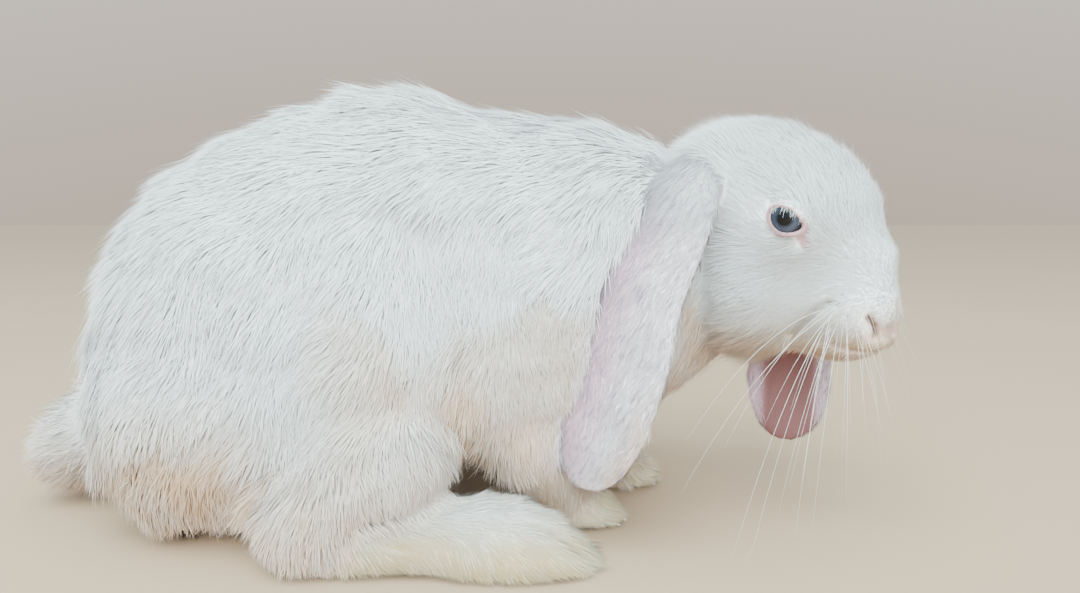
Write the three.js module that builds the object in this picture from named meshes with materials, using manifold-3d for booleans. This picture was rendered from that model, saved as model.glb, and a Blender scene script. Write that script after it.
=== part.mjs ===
// A lop-eared rabbit, life size, crouching on all four feet with its back arched and its head turned
// to its right. Millimetres, +X towards the front of the body, +Y to the rabbit's left, +Z up.
// The solids reach the tips of the coat. Each part of the body is a rounded field of flesh, skinned from
// inside along its own spine, and gives way by a thin gap to the parts that lie deeper or matter more.
import * as THREE from "three";
import { mergeVertices } from "three/addons/utils/BufferGeometryUtils.js";
import Module from "manifold-3d";

const wasm = await Module();
wasm.setup();

// ---------- driving dimensions, in mm ----------
const GAP = 0.3; // clearance between neighbouring parts
const HEAD_AT = [92, -22, 114]; // middle of the head, between the eyes and the ears
const HEAD_YAW = -38; // degrees the head is turned to the rabbit's right
const EYE_RADIUS = 8.6;
const EYE_AT = [17.5, 24.4, 9.5]; // in the head's own frame, on the left; mirrored on the right
const EAR_WIDTH = 40;
const EAR_ROOT_SPREAD = 0.78; // width of the root over the widest
const EAR_THICKNESS = 4.6;
const HIND_TRACK = 68; // half of the distance between the hind feet's middles
const HIND_FOOT_HALF_WIDTH = 17;
const CLAW_RADIUS = 1.7;
const SLACK = 0.15; // how far a cut face may be evened out

const COAT = {
  white: { color: 0xf2f1ee, roughness: 0.9, metalness: 0 },
  foot: { color: 0xece4d2, roughness: 0.9, metalness: 0 },
  ear: { color: 0xe9dbe0, roughness: 0.85, metalness: 0 },
  eye: { color: 0x3c4a66, roughness: 0.1, metalness: 0 },
  claw: { color: 0xd8c3ae, roughness: 0.45, metalness: 0 },
};

// ---------- fields of flesh: negative inside, positive outside, about the distance in mm ----------
const vec = (p) => new THREE.Vector3(...p);
const degrees = (list) => list.map(THREE.MathUtils.degToRad);

// An ellipsoid of half-sizes `half` about `centre`, turned by `turn` degrees about X, Y and Z.
function mass(centre, half, turn = [0, 0, 0]) {
  const c = vec(centre);
  const back = new THREE.Quaternion().setFromEuler(new THREE.Euler(...degrees(turn))).invert();
  const q = new THREE.Vector3();
  return (p) => {
    q.subVectors(p, c).applyQuaternion(back);
    const [x, y, z] = [q.x / half[0], q.y / half[1], q.z / half[2]];
    const reach = Math.hypot(x, y, z);
    const slope = Math.hypot(x / half[0], y / half[1], z / half[2]);
    return slope ? (reach * (reach - 1)) / slope : -Math.min(...half);
  };
}

// A round limb from a to b whose radius runs from ra to rb.
function limb(a, b, ra, rb) {
  const [start, along] = [vec(a), vec(b).sub(vec(a))];
  const square = along.lengthSq();
  const q = new THREE.Vector3();
  return (p) => {
    q.subVectors(p, start);
    const t = THREE.MathUtils.clamp(q.dot(along) / square, 0, 1);
    return q.addScaledVector(along, -t).length() - THREE.MathUtils.lerp(ra, rb, t);
  };
}

// Joins fields with a soft fillet `fillet` mm wide.
function blend(fillet, ...fields) {
  return (p) =>
    fields.reduce((sum, field) => {
      const d = field(p);
      const h = Math.max(fillet - Math.abs(sum - d), 0) / fillet;
      return Math.min(sum, d) - (h * h * fillet) / 4;
    }, Infinity);
}

// ---------- skins: closed surfaces laid over a field or through sections ----------
// Moves every vertex of a sphere to place(u, v): u runs round, and v from the first pole to the second.
function drape(sides, rings, place) {
  const sphere = new THREE.SphereGeometry(1, sides, rings);
  const at = sphere.attributes.position;
  for (let i = 0; i < at.count; i++) {
    const ring = Math.floor(i / (sides + 1));
    const side = ring % rings ? (i % (sides + 1)) % sides : 0;
    const p = place(side / sides, ring / rings);
    at.setXYZ(i, p.x, p.y, p.z);
  }
  sphere.deleteAttribute("normal");
  sphere.deleteAttribute("uv");
  return mergeVertices(sphere, 1e-4);
}

// The surface of the field, `grown` mm further out, found along rays that fan out from the spine.
function skin(field, spine, { sides, rings, cap = 0.22, up = [0, 0, 1] }, grown = 0) {
  const curve = new THREE.CatmullRomCurve3(spine.map(vec));
  const level = (p) => field(p) - grown;
  return drape(sides, rings, (u, v) => {
    const t = THREE.MathUtils.clamp((v - cap) / (1 - 2 * cap), 0, 1);
    const tilt = v < cap ? v / cap - 1 : Math.max(v - 1 + cap, 0) / cap;
    const tangent = curve.getTangentAt(t);
    const across = new THREE.Vector3().crossVectors(vec(up), tangent).normalize();
    const over = new THREE.Vector3().crossVectors(tangent, across);
    const round = 2 * Math.PI * u;
    const ray = new THREE.Vector3()
      .addScaledVector(across, Math.cos(round))
      .addScaledVector(over, Math.sin(round))
      .multiplyScalar(Math.cos((tilt * Math.PI) / 2))
      .addScaledVector(tangent, Math.sin((tilt * Math.PI) / 2));
    return cast(level, curve.getPointAt(t), ray);
  });
}

// The point where a ray that starts inside leaves the field.
function cast(level, from, ray) {
  const p = new THREE.Vector3();
  const value = (s) => level(p.copy(from).addScaledVector(ray, s));
  let [inner, outer] = [0, 0];
  for (let f = value(0); f < 0; f = value(outer)) {
    inner = outer;
    outer += Math.max(0.5, -0.7 * f);
  }
  for (let i = 0; i < 14; i++) {
    const middle = (inner + outer) / 2;
    if (value(middle) < 0) inner = middle;
    else outer = middle;
  }
  return p.copy(from).addScaledVector(ray, inner).clone();
}

// ---------- joining and cutting ----------
function solid(geometry) {
  const triVerts = new Uint32Array(geometry.index.array);
  const vertProperties = new Float32Array(geometry.attributes.position.array);
  const made = new wasm.Manifold(new wasm.Mesh({ numProp: 3, vertProperties, triVerts }));
  if (made.volume() > 0) return made;
  for (let i = 0; i < triVerts.length; i += 3) triVerts.subarray(i, i + 2).reverse();
  return new wasm.Manifold(new wasm.Mesh({ numProp: 3, vertProperties, triVerts }));
}

const biggest = (made) => made.decompose().reduce((a, b) => (a.volume() > b.volume() ? a : b));

// Everything below the level that the feet stand on.
const ground = solid(
  mergeVertices(
    new THREE.BoxGeometry(800, 800, 100)
      .translate(0, 0, -50)
      .deleteAttribute("normal")
      .deleteAttribute("uv"),
  ),
);

function meshOf(name, made, finish) {
  const { vertProperties, triVerts, numProp } = made.getMesh();
  const geometry = new THREE.BufferGeometry();
  const at = new Float32Array((vertProperties.length / numProp) * 3);
  for (let i = 0; i < at.length / 3; i++) {
    at.set(vertProperties.subarray(i * numProp, i * numProp + 3), i * 3);
  }
  geometry.setAttribute("position", new THREE.BufferAttribute(at, 3));
  geometry.setIndex(new THREE.BufferAttribute(triVerts, 1));
  geometry.computeVertexNormals();
  const mesh = new THREE.Mesh(geometry, new THREE.MeshStandardMaterial(finish));
  mesh.name = name;
  return mesh;
}

// ---------- the head's own frame: +X to the nose, +Y to its left ----------
const headFrame = new THREE.Matrix4()
  .makeRotationZ(THREE.MathUtils.degToRad(HEAD_YAW))
  .setPosition(...HEAD_AT);
const mirrored = (p, side) => [p[0], p[1] * side, p[2]];

// A sub-part: shape(grown) gives its geometry, `grown` mm fatter, in the rabbit's frame or the head's.
const part = (name, finish, shape, frame = null) => ({
  name,
  finish,
  solid: (grown) => {
    const geometry = shape(grown);
    return solid(frame ? geometry.applyMatrix4(frame) : geometry);
  },
});
const fleshy = (name, finish, field, spine, cut, frame) =>
  part(name, finish, (grown) => skin(field, spine, cut, grown), frame);

// ---------- head ----------
const head = blend(
  12,
  mass([-12, 0, 14], [37, 33, 36]), // cranium and crown
  mass([7, 0, 22], [25, 21, 20]), // forehead
  mass([-3, 0, -13], [27, 34, 34]), // jaw muscles and cheeks
  mass([18.5, 0, 3], [24, 22, 28], [0, 25, 0]), // bridge of the nose
  mass([14, 20, 10], [15, 10, 13]), // brows, which carry the eyes
  mass([14, -20, 10], [15, 10, 13]),
  mass([32, 0, -22], [17, 15, 18], [0, 20, 0]), // muzzle
  mass([34, 8, -29], [11, 8, 10]), // whisker pads
  mass([34, -8, -29], [11, 8, 10]),
  mass([26, 0, -35], [12, 9, 8]), // chin
);
const headPart = fleshy(
  "head",
  COAT.white,
  head,
  [
    [-16, 0, 6],
    [2, 0, 0],
    [28, 0, -16],
  ],
  { sides: 24, rings: 17, cap: 0.3 },
  headFrame,
);

const eye = (name, side) =>
  part(
    name,
    COAT.eye,
    (grown) =>
      drape(12, 8, (u, v) =>
        new THREE.Vector3()
          .setFromSphericalCoords(EYE_RADIUS + grown, Math.PI * v, 2 * Math.PI * u)
          .applyAxisAngle(new THREE.Vector3(1, 0, 0), Math.PI / 2)
          .add(vec(mirrored(EYE_AT, side))),
      ),
    headFrame,
  );

// ---------- ears ----------
// A hanging leaf: `route` is its midline and `facing` the way its outer face looks. Its section is a
// shallow trough that opens towards the head, deeper at the root, and its tip is round.
function leaf(route, facing, grown) {
  const midline = new THREE.CatmullRomCurve3(route.map(vec));
  const outwards = vec(facing).normalize();
  return drape(14, 15, (u, v) => {
    const t = v - 0.11 * Math.sin(2 * Math.PI * v); // rings crowd at both ends
    const tangent = midline.getTangentAt(t);
    const across = new THREE.Vector3().crossVectors(outwards, tangent).normalize();
    const over = new THREE.Vector3().crossVectors(tangent, across);
    const end = Math.max((0.1 - t) / 0.1, (t - 0.76) / 0.24, 0); // both ends are rounded
    const tip = Math.sqrt(Math.max(1 - end * end, 0));
    const spread = THREE.MathUtils.lerp(EAR_ROOT_SPREAD, 1, THREE.MathUtils.smoothstep(t, 0, 0.75));
    const closed = v > 0 && v < 1 ? 1 : 0;
    const width = (EAR_WIDTH / 2) * spread * tip * closed;
    const thick = (EAR_THICKNESS / 2) * Math.sqrt(tip) * closed;
    const trough = THREE.MathUtils.lerp(0.5, 0.14, THREE.MathUtils.smoothstep(t, 0, 0.6)) * width;
    const side = Math.cos(2 * Math.PI * u);
    const away = (width + grown * closed) * side;
    const deep = (thick + grown * closed) * Math.sin(2 * Math.PI * u) + trough * (0.4 - side * side);
    return midline
      .getPointAt(t)
      .addScaledVector(across, away)
      .addScaledVector(over, deep)
      .addScaledVector(tangent, closed ? 0 : grown * Math.sign(v - 0.5));
  });
}

const ear = (name, route, facing) =>
  part(name, COAT.ear, (grown) => leaf(route, facing, grown * 2)); // the trough's slopes halve a gap

const rightEar = ear(
  "ear_right",
  [
    [62, -33, 147],
    [54, -43, 134],
    [45, -53, 115],
    [35, -58, 94],
    [30, -60, 72],
    [23, -60, 51],
    [14.5, -58, 23],
  ],
  [-0.62, -0.78, 0.05],
);
const leftEar = ear(
  "ear_left",
  [
    [98, 5, 147],
    [105.5, 12, 136],
    [110, 16, 119],
    [112.5, 17, 92],
    [113.5, 16.5, 60],
    [113, 14, 20],
  ],
  [0.2, 0.98, 0.05],
);

// ---------- body: one flesh for the trunk, the neck, the thighs and the upper arms ----------
const pair = (shape) => [shape(-1), shape(1)]; // the right one, then the left one
const body = blend(
  22,
  mass([-110, 0, 84], [73, 58, 76]), // hindquarters
  mass([-62, 0, 103], [76, 55, 76]), // loin
  mass([-2, 0, 99], [60, 50, 66]), // ribs
  mass([26, 0, 110], [36, 42, 46]), // shoulders
  mass([27, -2, 72], [27, 34, 38]), // breast
  mass([-28, 0, 62], [68, 46, 36]), // belly
  limb([34, 0, 116], [68, -8, 114], 36, 30), // nape
  mass([60, -6, 90], [24, 28, 33]), // throat
  ...pair((side) => mass([-106, 36 * side, 70], [64, 34, 60])), // haunches
  ...pair((side) => mass([-64, 48 * side, 58], [36, 22, 36], [0, 30, 0])), // knees
  ...pair((side) => mass([-128, 42 * side, 38], [44, 30, 34])), // buttocks
  ...pair((side) => mass([4, 36 * side, 66], [28, 18, 40])), // upper arms
);
const bodyPart = fleshy(
  "body",
  COAT.white,
  body,
  [
    [-116, 0, 76],
    [-62, 0, 90],
    [-10, 0, 88],
    [30, 0, 98],
    [62, -6, 108],
  ],
  { sides: 26, rings: 24, cap: 0.18 },
);

// The cutters that portion the body out; each is a blob that passes right through the body's skin.
function cutter(centre, half, turn, sides, rings) {
  const spine = [centre, [centre[0] + 1, centre[1], centre[2]]];
  const fineness = { sides, rings, cap: 0.45 };
  return part("cutter", COAT.white, (grown) => skin(mass(centre, half, turn), spine, fineness, grown));
}
const thighCut = (side) => cutter([-102, 84 * side, 66], [60, 64, 54], [0, 12, 0], 14, 10);
const armCut = (side) => cutter([2, 66 * side, 62], [28, 40, 46], [0, 0, 0], 12, 9);
const neckCut = cutter([118, -8, 130], [72, 90, 96], [0, 0, 0], 14, 10);

const tail = fleshy(
  "tail",
  COAT.white,
  blend(
    10,
    mass([-178, 0, 38], [22, 24, 27], [0, -20, 0]), // root
    mass([-195, 0, 28], [19, 20, 21]),
    mass([-203, 0, 23], [16, 16, 18]), // tip
  ),
  [
    [-182, 0, 34],
    [-201, 0, 23],
  ],
  { sides: 12, rings: 9, cap: 0.35 },
);

// ---------- hind legs ----------
function hindLeg(sideName, side) {
  const at = (x, y, z) => [x, y * side, z];
  const track = HIND_TRACK;
  const shank = fleshy(
    `shank_${sideName}`,
    COAT.white,
    blend(
      12,
      limb(at(-50, track - 8, 43), at(-80, track, 18), 21, 16),
      mass(at(-46, track - 5, 34), [18, 14, 16]), // below the knee
      mass(at(-84, track, 13), [17, 15, 17]), // hock and heel
    ),
    [at(-54, track - 6, 36), at(-80, track, 18)],
    { sides: 14, rings: 9, up: [0, 1, 0] },
  );
  const toes = [-1.5, -0.5, 0.5, 1.5];
  const foot = fleshy(
    `hind_foot_${sideName}`,
    COAT.foot,
    blend(
      7,
      limb(at(-82, track, 9), at(-24, track, 10), 14, 15), // metatarsus
      mass(at(-14, track, 8), [26, HIND_FOOT_HALF_WIDTH, 17]), // ball of the foot
      ...toes.map((toe) =>
        limb(at(-4, track + toe * 7.4, 7), at(17 - Math.abs(toe) * 5, track + toe * 6.6, 4), 8, 4.6),
      ),
    ),
    [at(-80, track, 8), at(-40, track, 8), at(4, track, 6)],
    { sides: 14, rings: 12, cap: 0.25, up: [0, 1, 0] },
  );
  const claws = toes.map((toe, i) =>
    claw(
      `claw_hind_${sideName}_${i + 1}`,
      at(17 - Math.abs(toe) * 5, track + toe * 6.6, 4.2),
      at(25 - Math.abs(toe) * 5, track + toe * 6.9, 1.8),
    ),
  );
  return { shank, foot, claws };
}

// A claw: a curved cone from `root` to `point`.
function claw(name, root, point) {
  const middle = vec(root).lerp(vec(point), 0.55).add(new THREE.Vector3(0, 0, 0.8));
  const line = new THREE.QuadraticBezierCurve3(vec(root), middle, vec(point));
  return part(name, COAT.claw, (grown) =>
    drape(5, 4, (u, v) => {
      const tangent = line.getTangentAt(v);
      const across = new THREE.Vector3(0, 0, 1).cross(tangent).normalize();
      const over = new THREE.Vector3().crossVectors(tangent, across);
      const radius = v > 0 && v < 1 ? (CLAW_RADIUS + grown) * Math.sqrt(1 - v) : 0;
      return line
        .getPointAt(v)
        .addScaledVector(across, radius * Math.cos(2 * Math.PI * u))
        .addScaledVector(over, radius * Math.sin(2 * Math.PI * u));
    }),
  );
}

// ---------- forelegs ----------
// (x, y) is where the middle toes of the paw end.
function foreLeg(sideName, [x, y]) {
  const side = Math.sign(y);
  const forearm = fleshy(
    `foreleg_${sideName}`,
    COAT.white,
    blend(
      12,
      limb([x - 32, y + 7 * side, 58], [x - 35, y + 6 * side, 40], 17, 19), // elbow
      limb([x - 35, y + 6 * side, 40], [x - 24, y, 15], 19, 14), // forearm
    ),
    [
      [x - 32, y + 7 * side, 56],
      [x - 34, y + 6 * side, 40],
      [x - 25, y, 18],
    ],
    { sides: 14, rings: 10, up: [0, 1, 0] },
  );
  const toes = [-1.5, -0.5, 0.5, 1.5];
  const paw = fleshy(
    `forepaw_${sideName}`,
    COAT.foot,
    blend(
      5,
      limb([x - 23, y, 12], [x - 15, y, 7], 12, 11),
      ...toes.map((toe) =>
        limb([x - 15, y + toe * 5, 6.5], [x - 4 - Math.abs(toe) * 3, y + toe * 5, 4], 6.4, 4.2),
      ),
    ),
    [
      [x - 20, y, 9],
      [x - 10, y, 6],
    ],
    { sides: 14, rings: 9, cap: 0.3, up: [0, 1, 0] },
  );
  const claws = toes.map((toe, i) =>
    claw(
      `claw_fore_${sideName}_${i + 1}`,
      [x - 4 - Math.abs(toe) * 3, y + toe * 5, 4],
      [x + 4 - Math.abs(toe) * 3, y + toe * 5.3, 1.7],
    ),
  );
  return { forearm, paw, claws };
}

const hindRight = hindLeg("right", -1);
const hindLeft = hindLeg("left", 1);
const foreRight = foreLeg("right", [33, -28]);
const foreLeft = foreLeg("left", [54, 20]);

// ---------- assembly: each part gives way to those listed with it ----------
const rabbit = new THREE.Group();
const room = (other) => other.solid(GAP).add(other.solid(0));
const without = (made, nearer) => nearer.reduce((left, other) => left.subtract(room(other)), made);
function keep(name, finish, made) {
  rabbit.add(meshOf(name, biggest(made.subtract(ground)).simplify(SLACK), finish));
}
const keepPart = (piece, nearer) => keep(piece.name, piece.finish, without(piece.solid(0), nearer));

const eyes = [eye("eye_right", -1), eye("eye_left", 1)];
const ears = [rightEar, leftEar];
eyes.forEach((piece) => keepPart(piece, []));
keepPart(headPart, eyes);
ears.forEach((piece) => keepPart(piece, [headPart]));

const flesh = without(bodyPart.solid(0), [headPart, ...ears]);
const sides = [
  ["right", -1, hindRight, foreRight],
  ["left", 1, hindLeft, foreLeft],
];
for (const [name, side, hind, fore] of sides) {
  keep(`thigh_${name}`, COAT.white, flesh.intersect(thighCut(side).solid(0)));
  keepPart(hind.shank, [bodyPart]);
  keepPart(hind.foot, [bodyPart, hind.shank]);
  hind.claws.forEach((piece) => keepPart(piece, [hind.foot]));
  const forearm = fore.forearm.solid(0);
  const arm = flesh.add(forearm).intersect(armCut(side).solid(0));
  const whole = arm.add(without(forearm, [bodyPart]));
  keep(fore.forearm.name, COAT.white, without(whole, [neckCut, thighCut(side), hind.foot, ...ears]));
  keepPart(fore.paw, [bodyPart, fore.forearm, hind.foot]);
  fore.claws.forEach((piece) => keepPart(piece, [fore.paw]));
}
keep("neck", COAT.white, flesh.intersect(neckCut.solid(0)));
const portions = [neckCut, ...pair(thighCut), ...pair(armCut)];
keep("trunk", COAT.white, without(flesh, portions));
keepPart(tail, [bodyPart]);

// The origin is on the ground, under the middle of the rabbit's box.
const middle = new THREE.Box3().setFromObject(rabbit).getCenter(new THREE.Vector3());
rabbit.position.set(-middle.x, -middle.y, 0);

export default rabbit;
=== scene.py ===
import math
import bmesh
import bpy
import numpy as np
from mathutils import Matrix, Vector
from mathutils.bvhtree import BVHTree
from mathutils.kdtree import KDTree


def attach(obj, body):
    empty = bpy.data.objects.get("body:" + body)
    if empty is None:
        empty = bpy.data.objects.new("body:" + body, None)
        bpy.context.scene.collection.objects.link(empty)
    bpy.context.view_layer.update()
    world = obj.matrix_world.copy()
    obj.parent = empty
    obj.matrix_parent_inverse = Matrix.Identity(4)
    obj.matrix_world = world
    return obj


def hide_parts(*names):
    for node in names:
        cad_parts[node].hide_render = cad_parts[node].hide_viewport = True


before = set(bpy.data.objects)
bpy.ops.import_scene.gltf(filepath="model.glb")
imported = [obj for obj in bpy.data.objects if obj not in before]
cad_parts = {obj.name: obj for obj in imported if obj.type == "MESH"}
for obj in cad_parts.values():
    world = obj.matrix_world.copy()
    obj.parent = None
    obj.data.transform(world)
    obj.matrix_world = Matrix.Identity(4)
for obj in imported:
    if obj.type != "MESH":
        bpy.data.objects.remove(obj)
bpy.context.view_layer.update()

# ------ the hide
# The rabbit's hide is one unbroken skin over head, trunk, tail, ears and all four legs, so no seam
# shows. It is thin and pinkish white, with bare pink rims at the eyes, nose and mouth. It is laid over
# the solids' flesh, eased, and drawn in by the depth of the coat at each place.
MM = 0.001  # lengths are in mm here, and in metres in the meshes
FLESH_NET, EAR_NET, HIDE_NET = 1.7, 0.8, 1.3  # pitch of the nets over flesh, ears and the whole, in mm
HIDE_DEPTH = {  # how deep the hide lies below the tips of the coat, in mm
    "head": 3.0, "neck": 3.6, "trunk": 4.3, "tail": 9.5, "thigh": 4.0, "shank": 2.9,
    "hind_foot": 2.0, "foreleg": 2.9, "forepaw": 1.7, "ear": 0.6,
}
HEAD_AT = np.array([133.7956, -22.0, 114.0])
HEAD_TURN = math.radians(-38)
NOSE = np.array([49.0, 0.0, -22.0])  # nose and eye in the head's own frame: +X to the nose, +Y to its left
EYE_AT = np.array([17.5, 24.4, 9.5])
EYE_RADIUS = 8.6
EAR_ROOTS = {  # where the gristle of each ear swells the crown, above and below
    "right": [(108, -30, 141), (101, -40, 134)], "left": [(137, 1, 141), (145, 9, 134)],
}


def kind(node):
    """The part of the body that a node is, right and left alike, with the eyes in the head."""
    return node.replace("_right", "").replace("_left", "").replace("eye", "head")


def gathered(data, key, each, number_kind):
    values = np.empty(len(data) * each, number_kind)
    data.foreach_get(key, values)
    return values.reshape(-1, each)


def triangles(mesh):
    """The points of a mesh in mm, and its triangles."""
    mesh.calc_loop_triangles()
    at = gathered(mesh.vertices, "co", 3, np.float32).astype(float) / MM
    return at, gathered(mesh.loop_triangles, "vertices", 3, np.int32)


def mesh_from(bm, name):
    mesh = bpy.data.meshes.new(name)
    bm.to_mesh(mesh)
    bm.free()
    return mesh


def welded(node, grown):
    """A solid's own shape, let out by `grown` mm."""
    bm = bmesh.new()
    bm.from_mesh(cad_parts[node].data)
    bmesh.ops.remove_doubles(bm, verts=bm.verts, dist=1e-6)
    bmesh.ops.triangulate(bm, faces=bm.faces)
    bm.normal_update()
    for v in bm.verts:
        v.co += v.normal * grown * MM
    return triangles(mesh_from(bm, "welded"))


def stacked(shapes):
    at, tri, first = [], [], 0
    for a, t in shapes:
        at.append(a)
        tri.append(t + first)
        first += len(a)
    return np.vstack(at), np.vstack(tri)


def new_mesh(name, at, faces):
    mesh = bpy.data.meshes.new(name)
    count, sides = faces.shape
    mesh.vertices.add(len(at))
    mesh.vertices.foreach_set("co", (at * MM).astype(np.float32).ravel())
    mesh.loops.add(count * sides)
    mesh.loops.foreach_set("vertex_index", faces.astype(np.int32).ravel())
    mesh.polygons.add(count)
    mesh.polygons.foreach_set("loop_start", np.arange(0, count * sides, sides, dtype=np.int32))
    mesh.update(calc_edges=True)
    return mesh


def new_piece(name, mesh):
    piece = bpy.data.objects.new(name, mesh)
    bpy.context.scene.collection.objects.link(piece)
    return piece


def smooth_piece(name, mesh, look):
    mesh.polygons.foreach_set("use_smooth", np.ones(len(mesh.polygons), bool))
    mesh.materials.append(look)
    return new_piece(name, mesh)


def changed(mesh, kind_of, **settings):
    """The mesh after one modifier."""
    piece = new_piece("working", mesh)
    modifier = piece.modifiers.new("working", kind_of)
    for key, value in settings.items():
        setattr(modifier, key, value)
    seen = piece.evaluated_get(bpy.context.evaluated_depsgraph_get())
    made = bpy.data.meshes.new_from_object(seen)
    bpy.data.objects.remove(piece)
    return made


def one_island(mesh):
    """Only the largest of the mesh's separate shells."""
    bm = bmesh.new()
    bm.from_mesh(mesh)
    bm.verts.ensure_lookup_table()
    group = np.full(len(bm.verts), -1)
    sizes = []
    for v in bm.verts:
        if group[v.index] >= 0:
            continue
        stack, size = [v], 0
        group[v.index] = len(sizes)
        while stack:
            w = stack.pop()
            size += 1
            for e in w.link_edges:
                o = e.other_vert(w)
                if group[o.index] < 0:
                    group[o.index] = len(sizes)
                    stack.append(o)
        sizes.append(size)
    keep = int(np.argmax(sizes))
    bmesh.ops.delete(bm, geom=[v for v in bm.verts if group[v.index] != keep], context="VERTS")
    bm.to_mesh(mesh)
    bm.free()
    return mesh


class Web:
    """Who neighbours whom on a mesh, so that anything on its points can be evened out."""

    def __init__(self, tri, count):
        edge = np.sort(np.vstack([tri[:, [0, 1]], tri[:, [1, 2]], tri[:, [2, 0]]]), axis=1)
        key = np.unique(edge[:, 0].astype(np.int64) * count + edge[:, 1])
        self.a, self.b = key // count, key % count
        self.tri, self.count = tri, count
        self.degree = np.maximum(np.bincount(np.r_[self.a, self.b], minlength=count), 1)

    def mean(self, x):
        x = x.reshape(self.count, -1)
        out = np.empty_like(x)
        for k in range(x.shape[1]):
            out[:, k] = np.bincount(self.a, x[self.b, k], self.count)
            out[:, k] += np.bincount(self.b, x[self.a, k], self.count)
        return out / self.degree[:, None]

    def even(self, x, times, hold=1.0):
        for _ in range(times):
            x = x + (self.mean(x) - x) * hold
        return x

    def eased(self, at, times, share):
        """Evens a shape out without shrinking it."""
        for _ in range(times):
            at = at + (self.mean(at) - at) * (0.6 * share)
            at = at - (self.mean(at) - at) * (0.62 * share)
        return at

    def normals(self, at):
        t = self.tri
        n = np.cross(at[t[:, 1]] - at[t[:, 0]], at[t[:, 2]] - at[t[:, 0]])
        out = np.zeros((self.count, 3))
        for k in range(3):
            for c in range(3):
                out[:, k] += np.bincount(t[:, c], n[:, k], self.count)
        return out / np.maximum(np.linalg.norm(out, axis=1), 1e-12)[:, None]


def step(low, high, x):
    t = np.clip((x - low) / (high - low), 0, 1)
    return t * t * (3 - 2 * t)


def away_from(spot, points):
    return np.linalg.norm(points - np.array(spot), axis=1)


def fade(low, high, x):
    return 1 - step(low, high, x)


def dab(distance, reach):
    """1 at the middle of a soft dab, dying away over `reach`."""
    return np.exp(-((distance / reach) ** 2))


def unit(v):
    return v / np.maximum(np.linalg.norm(v, axis=-1, keepdims=True), 1e-9)


def to_head(p):
    d, c, s = p - HEAD_AT, math.cos(HEAD_TURN), math.sin(HEAD_TURN)
    return np.stack([d[:, 0] * c + d[:, 1] * s, d[:, 1] * c - d[:, 0] * s, d[:, 2]], axis=1)


def turn_from_head(v):
    c, s = math.cos(HEAD_TURN), math.sin(HEAD_TURN)
    return np.stack([v[:, 0] * c - v[:, 1] * s, v[:, 0] * s + v[:, 1] * c, v[:, 2]], axis=1)


def closest(spots, points):
    """For each point, which of the spots is nearest to it."""
    tree = KDTree(len(spots))
    for i, p in enumerate(spots.tolist()):
        tree.insert(p, i)
    tree.balance()
    return np.array([tree.find(p)[1] for p in points.tolist()])


def nearest(tree, points):
    """For each point, the nearest face of the tree and the distance to it."""
    found = [tree.find_nearest(p)[2:] for p in points.tolist()]
    return np.array([f[0] for f in found]), np.array([f[1] for f in found])


nodes_of_flesh = [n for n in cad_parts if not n.startswith(("eye", "claw"))]
body_nodes = [n for n in nodes_of_flesh if not n.startswith("ear")] + ["eye_right", "eye_left"]
kinds = sorted({kind(n) for n in body_nodes})
plain = [welded(n, 0.0) for n in body_nodes]
body_at, body_tri = stacked(plain)
body_kind = np.concatenate([
    np.full(len(t), kinds.index(kind(n))) for n, (_, t) in zip(body_nodes, plain)
])
body_tree = BVHTree.FromPolygons(body_at.tolist(), body_tri.tolist())

# the flesh without the ears, with the eyes to fill their sockets, is made one, evened out and drawn in
# by the coat's depth, in steps
rough = changed(
    new_mesh("flesh", *stacked([welded(n, 0.5) for n in body_nodes])),
    "REMESH", mode="VOXEL", voxel_size=FLESH_NET * MM,
)
at, tri = triangles(one_island(rough))
web = Web(tri, len(at))
which, _ = nearest(body_tree, at)
share = np.zeros((len(at), len(kinds)))  # how much each point belongs to each part
share[np.arange(len(at)), body_kind[which]] = 1
share = web.even(share, 14)
fine = share[:, [kinds.index("hind_foot"), kinds.index("forepaw")]].sum(1)
at = web.eased(at, 26, (1 - 0.85 * fine)[:, None])
in_head = to_head(at)
from_nose = away_from(NOSE, in_head)
by_eye = np.minimum(*[away_from(EYE_AT * [1, s, 1], in_head) for s in (-1, 1)])
depth = share @ np.array([HIDE_DEPTH[k] for k in kinds])
face = share[:, kinds.index("head")]
depth -= face * HIDE_DEPTH["head"] * (0.62 * fade(18, 62, from_nose))  # shallower to the nose and eyes
depth -= face * 1.2 * fade(10, 20, by_eye)
DRAWS = 6
for _ in range(DRAWS):
    at = at - web.normals(at) * (depth / DRAWS)[:, None]
    at = web.eased(at, 2, (1 - 0.9 * fine)[:, None])
shapes = [(at, tri)]


def swelling(centre, half):
    bm = bmesh.new()
    bmesh.ops.create_icosphere(bm, subdivisions=4, radius=1)
    a, t = triangles(mesh_from(bm, "swelling"))
    return a * MM * np.array(half) + np.array(centre), t


# the ears, each with the swellings of gristle that root it in the crown
ear_shapes = []
for ear in ("ear_right", "ear_left"):
    a, t = welded(ear, 0.0)
    smooth = changed(new_mesh("ear", a, t), "REMESH", mode="VOXEL", voxel_size=EAR_NET * MM)
    a, t = triangles(smooth)
    w = Web(t, len(a))
    a = w.even(a, 12, 0.6) + w.normals(a) * 0.5
    ear_shapes.append((a, t))
ears_at, ears_tri = stacked(ear_shapes)
ear_tree = BVHTree.FromPolygons(ears_at.tolist(), ears_tri.tolist())
shapes += ear_shapes
for root in EAR_ROOTS.values():
    shapes += [swelling(root[0], (12, 10, 12)), swelling(root[1], (10, 8, 12))]

hide_mesh = one_island(changed(
    new_mesh("hide", *stacked(shapes)), "REMESH", mode="VOXEL", voxel_size=HIDE_NET * MM
))

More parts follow.
